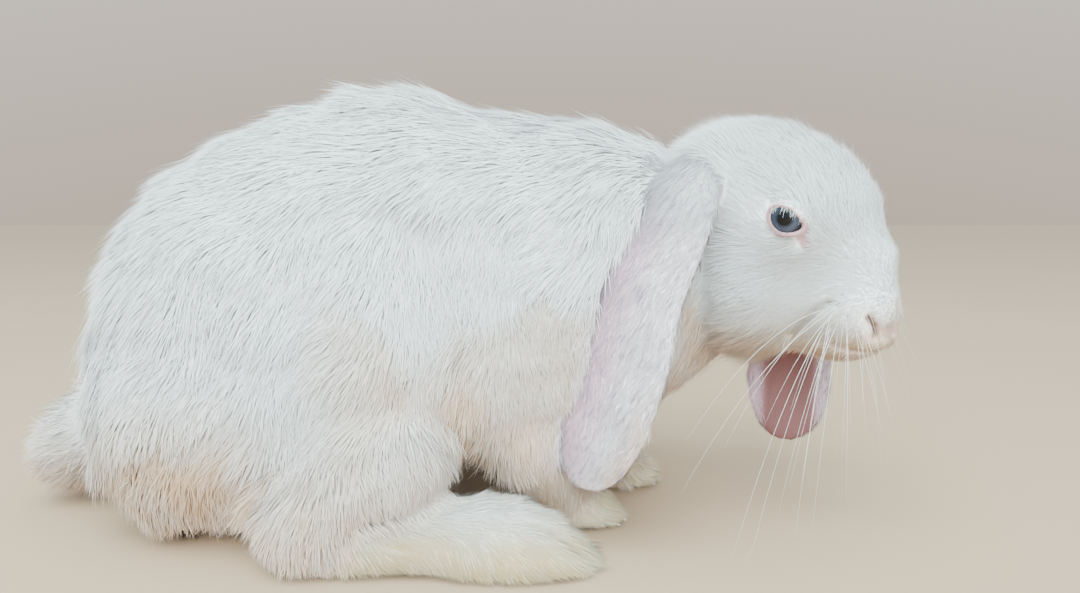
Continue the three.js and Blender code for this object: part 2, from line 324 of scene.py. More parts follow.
# the face gets a finer net: half the pitch over the head, a quarter at the eyes, nose and mouth
bm = bmesh.new()
bm.from_mesh(hide_mesh)
WHOLE_FACE = [((20, 0, -8), 50)]  # middles in the head's frame, and how far round each
EYES_AND_MOUTH = [(EYE_AT * [1, -1, 1], 14), (EYE_AT, 14), ((44, 0, -30), 19)]
for places in (WHOLE_FACE, EYES_AND_MOUTH):
    where = to_head(np.array([v.co for v in bm.verts]) / MM)
    near = np.any([away_from(c, where) < r for c, r in places], axis=0)
    bm.verts.ensure_lookup_table()
    edges = {e for i in np.flatnonzero(near) for e in bm.verts[i].link_edges}
    bmesh.ops.subdivide_edges(bm, edges=list(edges), cuts=1, use_grid_fill=True, smooth=0)
bmesh.ops.triangulate(bm, faces=bm.faces)
bm.to_mesh(hide_mesh)
bm.free()
skin, tri = triangles(hide_mesh)
web = Web(tri, len(skin))

# what part of the body each point of the hide belongs to, softly
kinds.append("ear")
which, _ = nearest(body_tree, skin)
_, to_ear = nearest(ear_tree, skin)
share = np.zeros((len(skin), len(kinds)))
share[np.arange(len(skin)), body_kind[which]] = 1
on_ear = to_ear < 0.9
share[on_ear] = 0
share[on_ear, kinds.index("ear")] = 1
by_root = np.min([away_from(p, skin) for pair in EAR_ROOTS.values() for p in pair], axis=0)
on_root = (by_root < 13) & ~on_ear
share[on_root] = 0
share[on_root, kinds.index("head")] = 1
share = web.even(share, 10)
part = dict(zip(kinds, share.T))
root_of_ear = np.minimum(*[away_from(pair[0], skin) for pair in EAR_ROOTS.values()])

# the steps between the parts are evened out, most at the roots of the ears and between haunch and flank
skin = web.eased(skin, 8, (1 - 0.8 * (part["hind_foot"] + part["forepaw"]))[:, None])
skin = web.even(skin, 9, (0.7 * part["ear"])[:, None])
skin = web.even(skin, 44, (0.85 * fade(14, 29, root_of_ear))[:, None])
haunch, flank = web.even(share[:, [kinds.index("thigh"), kinds.index("trunk")]], 60).T
skin = web.even(skin, 60, np.clip(4 * haunch * flank, 0, 0.9)[:, None])
h = to_head(skin)


def waves(points, size, seed):
    """A smooth wandering value, about -1 to 1, that changes over `size` mm."""
    own = np.random.default_rng(seed)
    total = np.zeros(len(points))
    for _ in range(7):
        k = unit(own.normal(size=3)) * 2 * math.pi / (size * own.uniform(0.7, 1.6))
        total += np.sin(points @ k + own.uniform(0, 6.28))
    return total / 2.6


def along(points, line):
    """The distance from each point to a line of short straight lengths."""
    best = np.full(len(points), 1e9)
    for a, b in zip(line[:-1], line[1:]):
        a, b = np.array(a, float), np.array(b, float)
        t = np.clip((points - a) @ (b - a) / ((b - a) @ (b - a)), 0, 1)
        best = np.minimum(best, np.linalg.norm(points - a - t[:, None] * (b - a), axis=1))
    return best


# folds of the face, pressed in along lines given in the head's frame
NOSTRIL = [(42.6, 13.8, -26.2), (44.4, 12.0, -29.2), (44.2, 10.9, -32.4)]
CLEFT = [(50, 0, -28), (48, 0, -33), (45, 0, -37), (42, 0, -39)]
MOUTH = [(44, 0, -37.5), (41, 7, -38.5), (36, 12, -38.5), (30, 15, -36.5), (26, 16, -35)]
CHEEK_FOLD = [(31, 0, -20.5), (26.2, 0, -23.4), (22.4, 0, -27.5), (19, 0, -31.6), (15, 0, -35)]
PITS = [(34.2, 0, -18.2), (29.3, 0, -21.3), (32.8, 0, -21.9), (36, 0, -25.3), (32.3, 0, -29.6)]
BROW_FOLD = [(0, 33, 17.5), (6, 33, 15.5), (10, 33, 13.5)]
sideways = np.abs(h[:, 1])
mirrored = np.stack([h[:, 0], sideways, h[:, 2]], axis=1)
to_nostril, to_mouth, to_cleft = (along(mirrored, line) for line in (NOSTRIL, MOUTH, CLEFT))
normal = web.normals(skin)
press = 2.4 * dab(to_nostril, 1.0) + 1.5 * dab(to_cleft, 1.0)
press += 1.7 * dab(to_mouth, 1.1)
flat_on = mirrored * [1, 0, 1]  # the fold and the whiskers' pits are placed in side view
off_cheek = 20 * (sideways < 8)
to_fold = along(flat_on, CHEEK_FOLD) + off_cheek
to_pit = np.min([away_from(p, flat_on) for p in PITS], axis=0) + off_cheek
press += 2.2 * dab(to_fold, 1.7) + 0.8 * dab(to_pit, 0.9)
press += 1.2 * dab(along(mirrored, BROW_FOLD), 2.0)
wing = along(mirrored, [(44.5, 12.8, -22.0), (47.5, 9.0, -27.0)])
press -= 0.9 * dab(wing, 2.2)
pad = away_from((37, 13, -29), mirrored)
press -= 1.3 * dab(pad, 6.5)
bridge = np.linalg.norm((mirrored - np.array([45, 0, -4])) / [8, 8, 7.5], axis=1)
press -= 4.4 * dab(bridge, 1)
lip = away_from((43.5, 5.5, -34.5), mirrored)
press -= 2.4 * dab(lip, 5.0)
press *= part["head"]
skin = skin - normal * press[:, None]
h = to_head(skin)

# the body's coat lies in soft rises and hollows
RISE = 0.55
rises = waves(skin * [1, 1, 0.7], 26, 12) * (part["trunk"] + part["thigh"]) * step(6, 30, skin[:, 2])
skin = skin + web.normals(skin) * (RISE * rises)[:, None]

# the toes of the hind feet, parted by grooves, and the front of the knee, pressed back a little
FAR = 9.0  # mm, or more: out of reach of a groove or an eye
to_toe = np.full(len(skin), FAR)
for across in (59, 67, 75):
    for side in (-1, 1):
        groove = [(34, side * (across + 1), 0), (48, side * across, 0), (60, side * (across - 1), 0)]
        to_toe = np.minimum(to_toe, along(skin * [1, 1, 0], groove))
to_toe += FAR * (normal[:, 2] < 0.1) + FAR * (1 - part["hind_foot"])
skin = skin - normal * (1.3 * dab(to_toe, 1.4))[:, None]
knee = np.linalg.norm((skin * [1, 0, 1] - [16, 0, 42]) / [12, 1, 26], axis=1)
pressed = 2.6 * dab(knee, 1) * (part["thigh"] + part["shank"]) * step(0.0, 0.5, normal[:, 0])
skin = skin - normal * pressed[:, None]

# the lids: the skin follows the eyeball up to the opening, rolls over a thin rim and dives behind
GAZE = np.array([0.09, 0.98, -0.13])
SLIT = (6.7, 3.9, 4.9)  # half the opening's length, and its height above and below the middle
SLANT = math.radians(30)  # the slit slopes down to the nose


def eye_frame(side):
    """An eye's middle, the way it looks, and the ways along and up its slit, in the head's frame."""
    gaze = unit(GAZE * [1, side, 1])
    across = np.array([math.cos(SLANT), 0, -math.sin(SLANT)])
    across = unit(across - gaze * (across @ gaze))
    over = np.cross(across, gaze)
    return EYE_AT * [1, side, 1], gaze, across, over * np.sign(over[2])


opening = np.full(len(skin), FAR)  # 1 at the lids' edge, less over the eyeball, more over the face
inner_corner = np.full(len(skin), FAR)
lid_rim = np.full(len(skin), 1.3)
for side in (-1, 1):
    centre, gaze, across, over = eye_frame(side)
    r = away_from(centre, h)
    d = (h - centre) / r[:, None]
    angle = np.arccos(np.clip(d @ gaze, -1, 1))
    round_it = unit(d - gaze * (d @ gaze)[:, None])
    x, y = EYE_RADIUS * angle * (round_it @ across), EYE_RADIUS * angle * (round_it @ over)
    tall = np.where(y > 0, SLIT[1], SLIT[2]) * (1 - 0.4 * np.clip(x / 9, 0, 1))
    e = np.hypot(x / SLIT[0], y / tall)
    near = (r < 15) & (angle < 1.9)
    lid = EYE_RADIUS + 0.7 + 0.35 * dab(e - 1.15, 0.13)
    outside = np.maximum(r, lid) + np.clip(1.0 - np.abs(r - lid), 0, 1) ** 2 / 4
    wanted = outside - (outside - (EYE_RADIUS - 1.8)) * fade(0.88, 1.02, e)
    skin = np.where(near[:, None], skin + turn_from_head(d) * (wanted - r)[:, None], skin)
    opening = np.minimum(opening, np.where(near, e, FAR))
    lid_rim = np.where(near, 1.12 + 0.24 * step(-2, 6, x - 0.5 * y), lid_rim)
    inner_corner = np.minimum(inner_corner, np.where(near, np.hypot(x - 7.6, y + 0.8), FAR))
    duct = along(to_head(skin) * [1, side, 1], [(22.6, 28.2, 3.5), (24.4, 25.8, -1.2)])
    inner_corner = np.minimum(inner_corner, duct + 0.3)
skin = web.even(skin, 2, (0.35 * ((opening > 1.2) & (opening < 3.2)))[:, None])
normal = web.normals(skin)
h = to_head(skin)
fore, left, up = skin.T

# markings that the hide and the coat share, 0 to 1 at each point of the hide, some of them painted shade
low = fade(14, 56, up)
rear = fade(-150, -95, fore)
feet = part["hind_foot"] + part["forepaw"]
sole = feet * fade(8, 23, up)
# the stain: a real cream stain on the soles and the ears' edges, and painted warm shade, standing for shade
# and light off the floor, on the tail's underside, the lower legs, knees, under the rump and the rear, the
# chin, the throat and the elbows
stain = 0.3 * feet + sole + part["tail"] * (0.25 + 0.75 * fade(14, 44, up))
stain += part["shank"] * (0.45 + 0.4 * low)
stain += 0.8 * part["thigh"] * np.maximum(low, step(-45, 0, fore))
under_rump = np.exp(-(((fore + 88) / 36) ** 4)) * fade(30, 78, up)
stain += (part["trunk"] + part["thigh"]) * 1.1 * under_rump
stain += part["trunk"] * 0.5 * rear * fade(20, 70, up)
stain += part["head"] * (0.9 * fade(-40, -16, h[:, 2]) + dab(lip, 7.5))
stain += part["neck"] * fade(82, 122, up)
stain += part["trunk"] * fade(58, 106, up) * step(-30, 20, fore)
stain += part["foreleg"] * (0.55 + 0.45 * fade(20, 90, up))
stain = np.clip(stain, 0, 1)
bare = fade(lid_rim, lid_rim + 0.22, opening) * (opening < 3)
bare = np.maximum(bare, fade(1.9, 3.1, inner_corner))
nose_pad = along(mirrored, [(48.5, 0, -22), (49.5, 0, -31), (46, 7.0, -31)])
for patch in (dab(to_nostril, 1.6), 0.6 * fade(1.5, 4.0, nose_pad), 0.7 * dab(to_mouth, 1.7)):
    bare = np.maximum(bare, patch * part["head"])
inside_ear, blush, ear_tip = np.zeros((3, len(skin)))
EARS = {  # the way the outer face looks, and how the middle of the ear runs: heights, and its X and Y there
    "right": (
        (-0.62, -0.78, 0.05),
        (23, 51, 72, 94, 115, 147), (56, 65, 72, 77, 87, 104), (-58, -60, -60, -58, -53, -33),
    ),
    "left": (
        (0.2, 0.98, 0.05),
        (20, 60, 92, 119, 136, 147), (155, 155.5, 154, 152, 147, 140), (14, 16.5, 17, 16, 12, 5),
    ),
}
for ear, (facing, tall, mid_x, mid_y) in EARS.items():
    mine = part["ear"] * ((left < 0) == (ear == "right"))
    ahead = fore - np.interp(up, tall, mid_x)
    off = np.hypot(ahead, left - np.interp(up, tall, mid_y))
    inner = fade(-0.35, 0.1, normal @ unit(np.array(facing)))
    back_edge = fade(-11, 5, ahead)
    inside_ear += mine * inner * fade(9, 17, off)
    from_root = away_from(EAR_ROOTS[ear][1], skin)
    blush += mine * np.maximum(0.3 + 0.7 * back_edge, inner * 0.8) * step(6, 36, from_root)
    ear_tip += mine * fade(2, 12, up - tall[0])
    cream = fade(34, 76, up) * np.maximum(step(3, 12, ahead), 0.6 * fade(22, 36, up))
    stain = np.where(mine > 0.5, cream * (1 - inner), stain)
bare = np.maximum(bare, 0.85 * inside_ear)
# painted shade: darker in the nostrils, along the mouth, in the whisker pits, along the cheek fold and in
# the crease at the lids' edge; the feet are also darker towards the floor
dark = 0.95 * dab(to_nostril, 1.0) + 0.4 * dab(to_mouth, 0.8)
dark += 0.8 * dab(to_pit, 0.9) + 0.45 * dab(to_fold, 1.1)
dark += 0.5 * dab(opening - 1.03, 0.05) * (lid_rim < 1.35)
dark *= part["head"]
dark += 0.45 * feet * fade(1, 9, up)
snout = fade(8, 20, away_from((47, 4, -28), mirrored)) * part["head"]
from_nose = away_from(NOSE, h)


def node(tree, kind_of, **values):
    made = tree.nodes.new(kind_of)
    for key, value in values.items():
        setattr(made, key, value)
    return made


def read(tree, name):
    return node(tree, "ShaderNodeAttribute", attribute_name=name).outputs["Fac"]


def feed(tree, socket, value):
    """Gives a socket a number, a colour or another node's result."""
    if isinstance(value, (int, float)):
        socket.default_value = value
    elif isinstance(value, tuple):
        socket.default_value = (*value, 1)
    else:
        tree.links.new(value, socket)


def tinted(tree, colour, second, amount):
    """The first colour gone over with the second by an amount of 0 to 1."""
    mix = node(tree, "ShaderNodeMix", data_type="RGBA")
    for number, value in ((6, colour), (7, second), (0, amount)):
        feed(tree, mix.inputs[number], value)
    return mix.outputs[2]


def sums(tree, operation, a, b=0):
    made = node(tree, "ShaderNodeMath", operation=operation)
    feed(tree, made.inputs[0], a)
    feed(tree, made.inputs[1], b)
    return made.outputs[0]


def times(tree, a, b):
    return sums(tree, "MULTIPLY", a, b)


def plus(tree, a, b):
    return sums(tree, "ADD", a, b)


def grain(tree, scale, detail=3.0, stretch=(1, 1, 1), slant=0.0):
    """Fine mottling fixed to the piece, drawn out along X, Y and Z by `stretch`."""
    place = node(tree, "ShaderNodeTexCoord").outputs["Object"]
    turned = node(tree, "ShaderNodeMapping", vector_type="TEXTURE")
    turned.inputs["Rotation"].default_value = (0, slant, 0)
    turned.inputs["Scale"].default_value = stretch
    tree.links.new(place, turned.inputs[0])
    noise = node(tree, "ShaderNodeTexNoise")
    noise.inputs["Scale"].default_value = scale
    noise.inputs["Detail"].default_value = detail
    tree.links.new(turned.outputs[0], noise.inputs["Vector"])
    return noise.outputs["Fac"]


def painted(tree, shader, colour):
    tree.links.new(colour, shader.inputs["Base Color"])


def bumped(tree, shader, height, strength, distance):
    bump = node(tree, "ShaderNodeBump")
    bump.inputs["Strength"].default_value = strength
    bump.inputs["Distance"].default_value = distance * MM
    tree.links.new(height, bump.inputs["Height"])
    tree.links.new(bump.outputs[0], shader.inputs["Normal"])


def finish_named(name, **sockets):
    """A new finish, its nodes and its shader."""
    made = bpy.data.materials.new(name)
    made.use_nodes = True
    shader = made.node_tree.nodes["Principled BSDF"]
    for key, value in sockets.items():
        shader.inputs[key.replace("_", " ")].default_value = value
    return made, made.node_tree, shader


WHITE, OFF_WHITE = (0.88, 0.875, 0.865), (0.80, 0.79, 0.77)
CREAM, PINK = (0.80, 0.57, 0.38), (0.80, 0.55, 0.67)
# the deepest colour is painted shade in the nostrils, creases and pits, and the darker soles
FLESH, SNOUT, DEEP_SHADE_AND_SOLE = (0.42, 0.18, 0.22), (0.42, 0.24, 0.15), (0.05, 0.018, 0.015)
# the inside of the ears: red flesh and veins, darkened with painted shade
SHADED_EAR_FLESH, SHADED_EAR_VEINS = (0.09, 0.020, 0.017), (0.17, 0.050, 0.040)
hide_look, t, shader = finish_named("hide", Roughness=0.75, Sheen_Weight=0.1, Sheen_Roughness=0.5)
colour = tinted(t, WHITE, OFF_WHITE, grain(t, 160.0))
# a cream stain, partly painted warm shade on the undersides
colour = tinted(t, colour, CREAM, times(t, read(t, "stain"), grain(t, 60.0)))
colour = tinted(t, colour, PINK, read(t, "blush"))
colour = tinted(t, colour, FLESH, times(t, read(t, "bare"), 0.85))
# the inside of the ears, darkened with painted shade
shaded_veins = tinted(t, SHADED_EAR_FLESH, SHADED_EAR_VEINS, grain(t, 120.0, 4.0, (1, 1, 3)))
colour = tinted(t, colour, shaded_veins, times(t, read(t, "inside_ear"), 0.9))
colour = tinted(t, colour, SNOUT, times(t, read(t, "snout"), read(t, "bare")))
# painted shade in the creases and pits, and the darker soles
colour = tinted(t, colour, DEEP_SHADE_AND_SOLE, read(t, "dark"))
painted(t, shader, colour)
bumped(t, shader, grain(t, 900.0, 4.0), 0.35, 0.3)


def carry(mesh, name, values):
    layer = mesh.attributes.new(name, "FLOAT", "POINT")
    layer.data.foreach_set("value", np.ascontiguousarray(values, np.float32))


# the hide is thinned to fewer triangles, most where long fur covers it
KEPT_TRIANGLES = 0.38
thinned = new_piece("thinned", new_mesh("hide", skin, tri))
furred = thinned.vertex_groups.new(name="furred")
short_haired = part["ear"] + part["forepaw"] + 0.8 * part["hind_foot"] + part["head"]
levels = np.round(4 * fade(0.02, 0.5, short_haired))
levels = np.maximum(levels, 1.2 * (part["head"] > 0.5) * (from_nose > 45))
for level in np.unique(levels):
    furred.add(np.flatnonzero(levels == level).tolist(), float(level) / 4, "REPLACE")
thinner = thinned.modifiers.new("thinner", "DECIMATE")
thinner.ratio, thinner.vertex_group, thinner.vertex_group_factor = KEPT_TRIANGLES, "furred", 6.0
made = bpy.data.meshes.new_from_object(thinned.evaluated_get(bpy.context.evaluated_depsgraph_get()))
bpy.data.objects.remove(thinned)
spots, faces = triangles(made)
hide_mesh = new_mesh("hide", spots, faces)
same = closest(skin, spots)
marks = {"stain": stain, "blush": blush, "bare": bare, "dark": dark}
for name, values in {**marks, "snout": snout, "inside_ear": inside_ear}.items():
    carry(hide_mesh, name, np.clip(values, 0, 1)[same])
hide = smooth_piece("hide", hide_mesh, hide_look)
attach(hide, "root")
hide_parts(*nodes_of_flesh)

# ------ eyes
# Two wet eyeballs behind the lids: a blue-grey iris with fine spokes and a dark rim round a black pupil,
# under the swell of the cornea, the top of the iris darkened with painted shadow of the upper lid. Each is
# a closed ball in its socket, turned outwards.
CORNEA, CORNEA_EDGE = 0.55, math.radians(46)  # its swell in mm, and how far from the eye's axis it ends
IRIS_DARK, IRIS_PALE, IRIS_LID_SHADOW = (0.016, 0.020, 0.036), (0.095, 0.108, 0.16), (0.006, 0.008, 0.013)
PUPIL = (0.0015, 0.0015, 0.003)
PUPIL_AND_RIM = ((0.0, 1.0), (0.27, 1.0), (0.42, 0.0), (0.52, 0.0), (0.63, 0.8), (0.70, 1.0))  # by radius


def closed_tube(rings, sides, first=0):
    """The faces round rings of points that are followed by the two end points."""
    faces, end = [], first + (rings - 1) * sides
    for i in range(rings - 1):
        for j in range(sides):
            a, b = first + i * sides + j, first + i * sides + (j + 1) % sides
            faces += [(a, b, b + sides), (a, b + sides, a + sides)]
    for j in range(sides):
        faces += [(first + (j + 1) % sides, first + j, end + sides)]
        faces += [(end + j, end + (j + 1) % sides, end + sides + 1)]
    return faces


def axes(tree, place):
    apart = node(tree, "ShaderNodeSeparateXYZ")
    tree.links.new(node(tree, "ShaderNodeTexCoord").outputs[place], apart.inputs[0])
    return apart.outputs


def shaded(tree, stops):
    """A ramp of shades, each at its place from 0 to 1."""
    ramp = node(tree, "ShaderNodeValToRGB")
    while len(ramp.color_ramp.elements) < len(stops):
        ramp.color_ramp.elements.new(0.5)
    for stop, (where, colour) in zip(ramp.color_ramp.elements, stops):
        stop.position = where
        stop.color = (*colour, 1)
    return ramp


for side, name in ((-1, "right"), (1, "left")):
    rings, spokes = 40, 64
    angle = np.linspace(0, math.pi, rings + 1)
    swell = CORNEA * np.clip(1 - (angle / CORNEA_EDGE) ** 2, 0, 1) ** 1.5
    radius = EYE_RADIUS + swell
    rim = np.stack([radius * np.sin(angle), radius * np.cos(angle)], axis=1)[1:-1]
    turn = np.linspace(0, 2 * math.pi, spokes, endpoint=False)
    wheel = np.stack([np.cos(turn), np.sin(turn), np.ones(spokes)], axis=1)
    ball = [wheel * [wide, wide, tall] for wide, tall in rim]
    ball = np.vstack(ball + [[[0, 0, radius[0]], [0, 0, -EYE_RADIUS]]])
    faces = np.array(closed_tube(len(rim), spokes))[:, ::-1]
    eye_look, t, shader = finish_named(
        "eyeball_" + name, Roughness=0.3, Coat_Weight=0.4, Coat_Roughness=0.03, IOR=1.376,
        Specular_IOR_Level=0.1,
    )
    x, y, _ = axes(t, "Object")
    squares = plus(t, sums(t, "POWER", x, 2.0), sums(t, "POWER", y, 2.0))
    out = sums(t, "DIVIDE", sums(t, "SQRT", squares), EYE_RADIUS * MM)
    spin = sums(t, "ARCTAN2", y, x)
    join = node(t, "ShaderNodeCombineXYZ")
    t.links.new(times(t, spin, 3.0), join.inputs[0])
    t.links.new(times(t, out, 2.0), join.inputs[1])
    fibres = node(t, "ShaderNodeTexNoise")
    fibres.inputs["Scale"].default_value = 4.5
    fibres.inputs["Detail"].default_value = 4.0
    t.links.new(join.outputs[0], fibres.inputs["Vector"])
    iris = tinted(t, IRIS_DARK, IRIS_PALE, fibres.outputs["Fac"])
    # painted shadow of the upper lid: the iris darker towards its top
    lid_shadow = plus(t, times(t, y, 0.09 / MM), 0.45)
    iris = tinted(t, iris, IRIS_LID_SHADOW, lid_shadow)
    ramp = shaded(t, [(where, (value,) * 3) for where, value in PUPIL_AND_RIM])
    t.links.new(out, ramp.inputs[0])
    painted(t, shader, tinted(t, iris, PUPIL, ramp.outputs["Color"]))
    eyeball = smooth_piece("eyeball_" + name, new_mesh("eyeball_" + name, ball, faces), eye_look)
    gaze = turn_from_head(unit(GAZE * [1, side, 1] + [0.0, 0, 0.09])[None])[0]
    middle = HEAD_AT + turn_from_head((EYE_AT * [1, side, 1])[None])[0]
    turned = Vector(gaze).to_track_quat("Z", "Y").to_matrix().to_4x4()
    eyeball.matrix_world = Matrix.Translation(Vector(middle * MM)) @ turned
    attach(eyeball, "root")
    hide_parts("eye_" + name)

# ------ claws
# Sixteen short curved claws of pale horn, one at the end of each toe, half hidden in the fur. The
# solids' own shapes stay, rounded, with a horn finish that is faintly streaked along the claw.
claw_look, t, shader = finish_named("claw_horn", Roughness=0.38, Coat_Weight=0.3, Coat_Roughness=0.2)
streak = grain(t, 700.0, 3.0, (4, 1, 1))
PALE_HORN, DARK_HORN = (0.62, 0.50, 0.40), (0.42, 0.30, 0.23)
painted(t, shader, tinted(t, PALE_HORN, DARK_HORN, streak))
bumped(t, shader, streak, 0.3, 0.1)
for name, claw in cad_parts.items():
    if name.startswith("claw"):
        claw.data.materials.clear()
        claw.data.materials.append(claw_look)
        rounded = claw.modifiers.new("rounded", "SUBSURF")
        rounded.levels = rounded.render_levels = 2

# ------ the coat: how it lies
# A rabbit's coat is a dense white undercoat under finer guard hairs. Here it is tufts of closed mesh,
# each a slim curved spike rooted in the hide, leaning with the lie of the coat and drawn into locks.
# This section grows the coat of the head; the other parts follow with the same way of growing.
lots = np.random.default_rng(20)
LENGTH, LEAN, WIDTH, THICK, LIE = range(5)
# Length in mm, lean off the hide in degrees, width in mm, tufts on each square mm, and the way the hair
# runs before it is laid on the hide; the head, the tail and the ears have ways of their own, below.
COAT = {
    "head": (10, 26, 0.46, 2.0, None),
    "neck": (15, 18, 0.52, 1.6, (-0.75, 0, -0.65)),
    "trunk": (19, 15, 0.56, 1.24, (-1, 0, -0.2)),
    "tail": (18, 48, 0.36, 4.2, (0, 0, 0)),
    "thigh": (16, 15, 0.54, 1.35, (-0.38, 0, -1)),
    "shank": (12, 18, 0.5, 1.6, (0.1, 0, -1)),
    "hind_foot": (8, 24, 0.42, 2.4, (1, 0, -0.2)),
    "foreleg": (12, 19, 0.5, 1.6, (0.05, 0, -1)),
    "forepaw": (6.5, 32, 0.42, 2.4, (1, 0, -0.3)),
    "ear": (5, 15, 0.36, 2.9, None),
}


def by_part(column):
    return share @ np.array([COAT[k][column] for k in kinds], float)


lie = np.zeros((len(skin), 3))
down = fade(80, 165, up)
parting = np.exp(-(((fore - 8) / 20) ** 2) - ((up - 104) / 24) ** 2) * (left < 0)
for k in kinds:
    if COAT[k][LIE]:
        way = np.tile(np.array(COAT[k][LIE], float), (len(skin), 1))
        if k == "trunk":  # it turns down the flanks, and parts behind the shoulder
            way[:, 2] -= 2.2 * down + 0.35 * step(20, 90, fore)
            way[:, 0] += 1.7 * parting
        if k == "tail":
            way = 0.8 * unit(skin - [-128, 0, 46]) + np.array([-1, 0, -0.35])
        if k == "hind_foot":
            way[:, 2] -= 1.3 * fade(5, 22, up)
        lie += way * part[k][:, None]
away = unit(h - NOSE)
away[:, 2] -= 0.85 * fade(-8, 14, h[:, 2]) * fade(18, 40, h[:, 0])
lie += turn_from_head(away) * part["head"][:, None]
for way, reach in (((-0.55, -0.15, -0.9), 1), ((0.15, 0.05, -1.0), -1)):
    lie += np.array(way) * (part["ear"] * (left * reach < 0))[:, None]


def laid(way, normal):
    """The ways, laid flat on the hide."""
    return unit(way - normal * np.sum(way * normal, axis=1, keepdims=True))


for _ in range(24):
    lie = web.even(laid(lie, normal), 1)
lie = laid(lie, normal)

# how long, how steep, how wide and how close the tufts are at each point of the hide
muzzle = part["head"] * fade(14, 52, from_nose)
length = by_part(LENGTH) * (1 - 0.66 * muzzle)
length *= 1 - 0.6 * fade(1.3, 3.0, opening)
lean = by_part(LEAN)
low_root = np.minimum(*[away_from(pair[1], skin) for pair in EAR_ROOTS.values()])
at_root = part["ear"] * fade(14, 34, low_root)
length += 2.0 * at_root
lean += 5 * at_root
hollow = np.sum((web.even(skin, 40) - skin) * normal, axis=1)
lean += 26 * np.clip(hollow, 0, 1.2) * (1 - part["ear"]) * (1 - part["head"])
width = by_part(WIDTH) * (1 - 0.25 * muzzle)
thick = by_part(THICK) * (1 + 0.4 * muzzle)
thick *= step(lid_rim - 0.02, lid_rim + 0.24, opening) * (1 - np.clip(bare * 1.5, 0, 1))
thick *= 1 - 0.85 * dab(to_pit, 0.9)
length *= 1 - 0.35 * dab(to_fold, 2.5) * part["head"]
length *= 1 - 0.55 * part["tail"] * step(38, 58, up)
lean *= 1 - 0.45 * part["tail"] * step(38, 58, up)
lean *= 1 - 0.3 * part["trunk"] * step(0.2, 0.9, normal[:, 2])
toes = part["hind_foot"] * step(42, 58, fore) + part["forepaw"] * step(62, 74, fore)
length *= 1 + 0.5 * toes
length *= 1 - 0.25 * (part["thigh"] + part["shank"]) * step(-8, 12, fore) * step(0.1, 0.6, normal[:, 0])
crown_edge = part["head"] * fade(12, 28, root_of_ear)
length += 5 * crown_edge
ruff = part["head"] * fade(0, 20, h[:, 0]) * fade(-34, -20, h[:, 2])
length += 7 * ruff + 3 * part["neck"] * fade(70, 100, up)
length *= 1 - 0.7 * dab(to_nostril, 3.0) * part["head"]
under = part["trunk"] * fade(-0.75, -0.2, normal[:, 2])
length *= 1 + 0.1 * under
length *= 1 - 0.6 * ear_tip
length *= 1 - 0.45 * part["neck"] * step(0.3, 0.8, normal[:, 0])
length *= 1 - 0.55 * fade(-0.6, -0.1, normal[:, 2]) * fade(5, 16, up)
kind_at = np.argmax(share[tri].sum(1), axis=1)

# the flattened map of the hide, of which every tuft takes a small patch at its root
MAP_TRIANGLES, PATCH = 0.03, 0.003  # the share of the hide's triangles it keeps, and a tuft's patch of it
flat_mesh = changed(new_mesh("flat", skin, tri), "DECIMATE", ratio=MAP_TRIANGLES)
flat_piece = new_piece("flat", flat_mesh)
bpy.context.view_layer.objects.active = flat_piece
flat_piece.select_set(True)
bpy.ops.object.mode_set(mode="EDIT")
bpy.ops.mesh.select_all(action="SELECT")
bpy.ops.uv.smart_project(angle_limit=math.radians(66), island_margin=0.004)
bpy.ops.object.mode_set(mode="OBJECT")
flat_at, flat_tri = triangles(flat_mesh)
flat_uv = gathered(flat_mesh.uv_layers.active.data, "uv", 2, np.float32)
flat_uv = flat_uv[gathered(flat_mesh.loop_triangles, "loops", 3, np.int32)]
flat_tree = BVHTree.FromPolygons(flat_at.tolist(), flat_tri.tolist())
bpy.data.objects.remove(flat_piece)


def spot_on_map(points):
    """Where on the flattened map each point of the hide lies."""
    found, _ = nearest(flat_tree, points)
    a, b, c = (flat_at[flat_tri[found, k]] for k in range(3))
    n = np.cross(b - a, c - a)
    square = np.maximum(np.sum(n * n, axis=1), 1e-12)
    v = np.sum(np.cross(points - a, c - a) * n, axis=1) / square
    w = np.sum(np.cross(b - a, points - a) * n, axis=1) / square
    v, w = np.clip(v, 0, 1), np.clip(w, 0, 1)
    uv = flat_uv[found]
    return uv[:, 0] * (1 - v - w)[:, None] + uv[:, 1] * v[:, None] + uv[:, 2] * w[:, None]


STRAYS, TO_A_LOCK = 0.09, 14  # the share of tufts that are stray hairs, and how many tufts a lock has
BEND, RIDGE = 0.5, 0.2  # where a tuft bends, along its length, and its depth over its width
LOWEST_ROOT, LOWEST_HAIR = 0.9, 0.25  # mm above the floor


